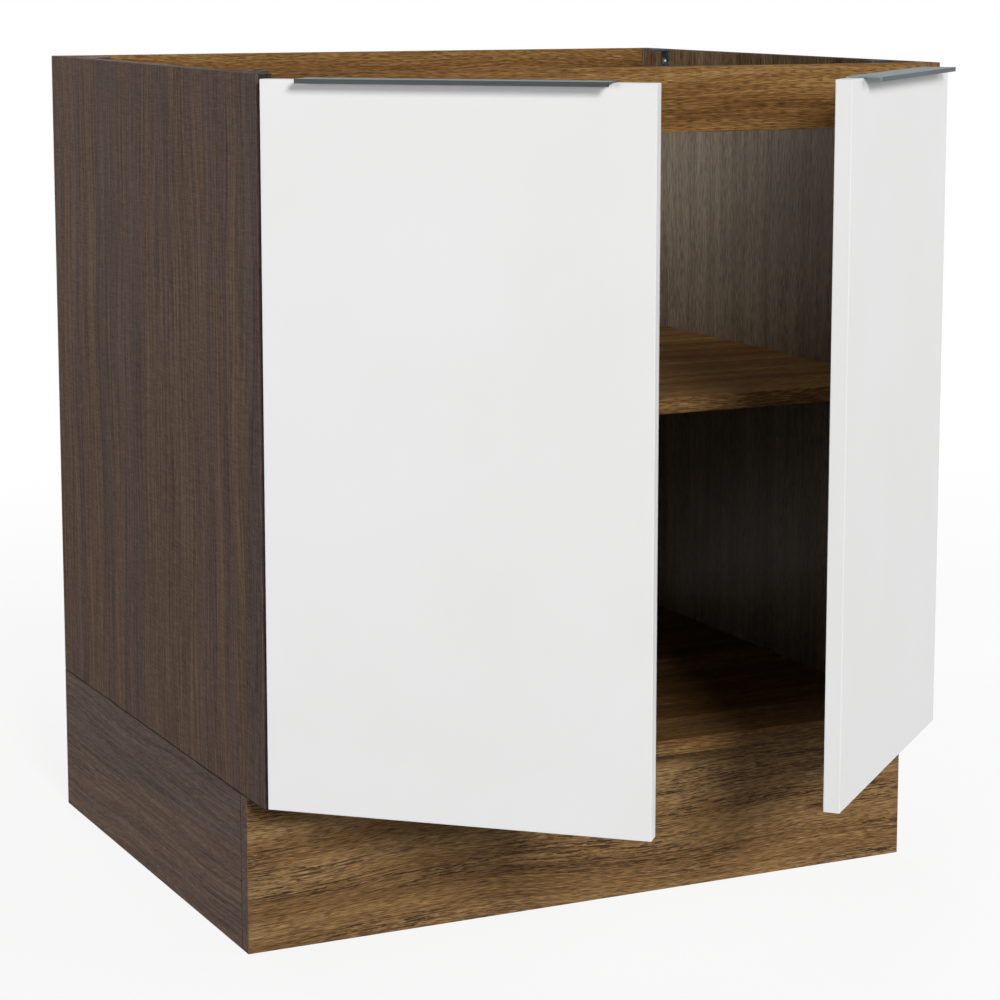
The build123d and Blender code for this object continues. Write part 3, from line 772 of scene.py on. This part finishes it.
# Finishes
steel = zinc_steel()
dress(side_board(), "left_side_panel", "right_side_panel")
dress(
    oak_board(
        "plinth_side_laminate",
        along="y",
        swaying="z",
        hues=PLINTH_HUES,
        streak_strength=0.85,
        seed=20,
        outer_shade_painted=True,
    ),
    "plinth_left_board",
    "plinth_right_board",
)
dress(
    oak_board(
        "plinth_front_laminate",
        along="x",
        swaying="z",
        hues=PLINTH_HUES,
        streak_strength=0.85,
        seed=40,
        outer_shade_painted=True,
    ),
    "plinth_front_board",
    "plinth_rear_board",
)
dress(
    oak_board("rail_laminate", along="x", swaying="z", hues=RAIL_HUES, streak_strength=0.2, seed=60),
    "front_top_rail",
    "rear_top_rail",
)
dress(
    oak_board("shelf_laminate", along="x", swaying="y", hues=SHELF_HUES, streak_strength=0.5, seed=80),
    "bottom_panel",
    "shelf",
)
dress(hardboard(), "back_panel")
dress(white_lacquer(), "left_door", "right_door")
# The left lip is painted darker than the right one, as painted shade.
dress(brushed_aluminium("left", lip_dark="272b2b", lip_light="353a39"), "left_handle")
dress(brushed_aluminium("right", lip_dark="4e5456", lip_light="5d6265"), "right_handle")
dress(moulded_plastic(), "plinth_corner_blocks")
dress(beech(), "dowels")
dress(blackened_steel(), "worktop_brackets")
dress(
    steel,
    "cam_bolts",
    "cam_locks",
    "shelf_pins",
    "hinge_plates",
    "hinge_arms",
    "left_hinge_cups",
    "left_hinge_pins",
    "right_hinge_cups",
    "right_hinge_pins",
)

# Sizes of the screws and nails, in metres
PAN_HEAD = {
    "Head Radius": 0.0035,
    "Head Top Radius": 0.0023,
    "Head Height": 0.002,
    "Head Base": 0.0,
    "Shank Radius": 0.00175,
    "Shank Length": 0.0115,
    "Slot Length": 0.0036,
    "Slot Width": 0.0008,
    "Slot Depth": 0.0012,
    "Cross Slot": True,
}
ARM_SCREW = {**PAN_HEAD, "Shank Length": 0.0073}
BLOCK_SCREW = {**PAN_HEAD, "Shank Length": 0.035}
CUP_SCREW = {**PAN_HEAD, "Shank Length": 0.010}
HANDLE_SCREW = {
    **PAN_HEAD,
    "Head Radius": 0.00175,
    "Head Top Radius": 0.0035,
    "Head Height": 0.0012,
    "Head Base": -0.0012,
    "Shank Length": 0.010,
    "Slot Depth": 0.0009,
}
NAIL = {
    **PAN_HEAD,
    "Head Radius": 0.002,
    "Head Top Radius": 0.0017,
    "Head Height": 0.0006,
    "Head Base": -0.0006,
    "Shank Radius": 0.0007,
    "Shank Length": 0.0142,
    "Cross Slot": False,
}

# Where the screws and nails sit, in metres
INWARD = (1, 0, 0)
DOWN = (0, 0, -1)
REARWARD = (0, 1, 0)
BRACKET_FACE = -SIDE_INNER + 0.0015
BRACKET_SCREW_DROP = 0.013
BRACKET_SCREW_YS = (0.0175, 0.4575)
PLATE_FACE = -SIDE_INNER + 0.002
PLATE_SCREW_SETBACK = 0.037
PLATE_SCREW_RISES = (-0.016, 0.016)
ARM_FACE = -SIDE_INNER + 0.0096
ARM_SCREW_SETBACKS = (0.020, 0.052)
BLOCK = 0.025
BLOCK_NEAR = 0.007
BLOCK_FAR = 0.017
NAIL_LOWEST = 0.207
NAIL_RISE = 0.0936
NAIL_LEFTMOST = -0.275
NAIL_RUN = 0.1375
NAIL_ROWS = (0.1545, 0.765)
NAIL_SUNK = 0.0001
CUP_SCREW_ALONG = 0.020
CUP_SCREW_OUT = 0.0086
CUP_SCREW_RISES = (-0.024, 0.024)
HANDLE_SCREWS_ALONG = (0.061, 0.167, 0.273)
HANDLE_SCREW_OUT = 0.0092
HANDLE_SCREW_HEIGHT = 0.780

# Screws and nails
fastener_nodes = FastenerTree()
bracket_screws = [((BRACKET_FACE, y, TOP - BRACKET_SCREW_DROP), INWARD) for y in BRACKET_SCREW_YS]
plate_screws = [
    ((PLATE_FACE, FRONT + PLATE_SCREW_SETBACK, z + rise), INWARD)
    for z in HINGE_HEIGHTS
    for rise in PLATE_SCREW_RISES
]
arm_screws = [
    ((ARM_FACE, FRONT + setback, z), INWARD) for z in HINGE_HEIGHTS for setback in ARM_SCREW_SETBACKS
]
fasteners("worktop_bracket_screws", "carcass", both_sides(bracket_screws), PAN_HEAD)
fasteners("hinge_plate_screws", "carcass", both_sides(plate_screws), PAN_HEAD)
fasteners("hinge_arm_screws", "carcass", both_sides(arm_screws), ARM_SCREW)
fasteners("plinth_block_screws", "carcass", both_sides(block_screws()), BLOCK_SCREW)
fasteners("back_panel_nails", "carcass", back_nails(), NAIL)
for side in ("left", "right"):
    cup_screws = [
        on_door(side, CUP_SCREW_ALONG, CUP_SCREW_OUT, z + rise)
        for z in HINGE_HEIGHTS
        for rise in CUP_SCREW_RISES
    ]
    handle_screws = [
        on_door(side, along, HANDLE_SCREW_OUT, HANDLE_SCREW_HEIGHT) for along in HANDLE_SCREWS_ALONG
    ]
    fasteners(f"{side}_cup_screws", f"{side}_door", cup_screws, CUP_SCREW)
    fasteners(f"{side}_handle_screws", f"{side}_door", handle_screws, HANDLE_SCREW)

# Studio
LAMP_AIM = Vector((0, 0.2, 0.4))
bpy.context.scene.view_settings.view_transform = "Standard"
surroundings()
studio_floor(reach=30)
lamp("front_softbox", bearing=-7, distance=12.0, height=5.3, size=3.2, power=1250)
lamp("right_softbox", bearing=66, distance=8.0, height=3.0, size=3.6, power=260)
lamp("left_softbox", bearing=-62, distance=9.0, height=0.7, size=3.0, power=290)
lamp("left_side_softbox", bearing=-108, distance=4.0, height=0.5, size=1.4, power=14)
lamp("right_side_softbox", bearing=134, distance=4.5, height=0.4, size=1.4, power=22)
lamp("top_softbox", bearing=0, distance=0.01, height=4.4, size=2.0, power=20)
lamp("rear_softbox", bearing=180, distance=4.2, height=1.2, size=2.4, power=80)
snoot("inside_snoot", place=(-1.6, 0.47, 2.05), target=(0.335, 0.50, 0.68), cone=17, power=92)
photo_camera(place=(-1.243, -2.3625, 0.883), down=8.5, right=25.96, focal_length=103.75, shift=-0.1)
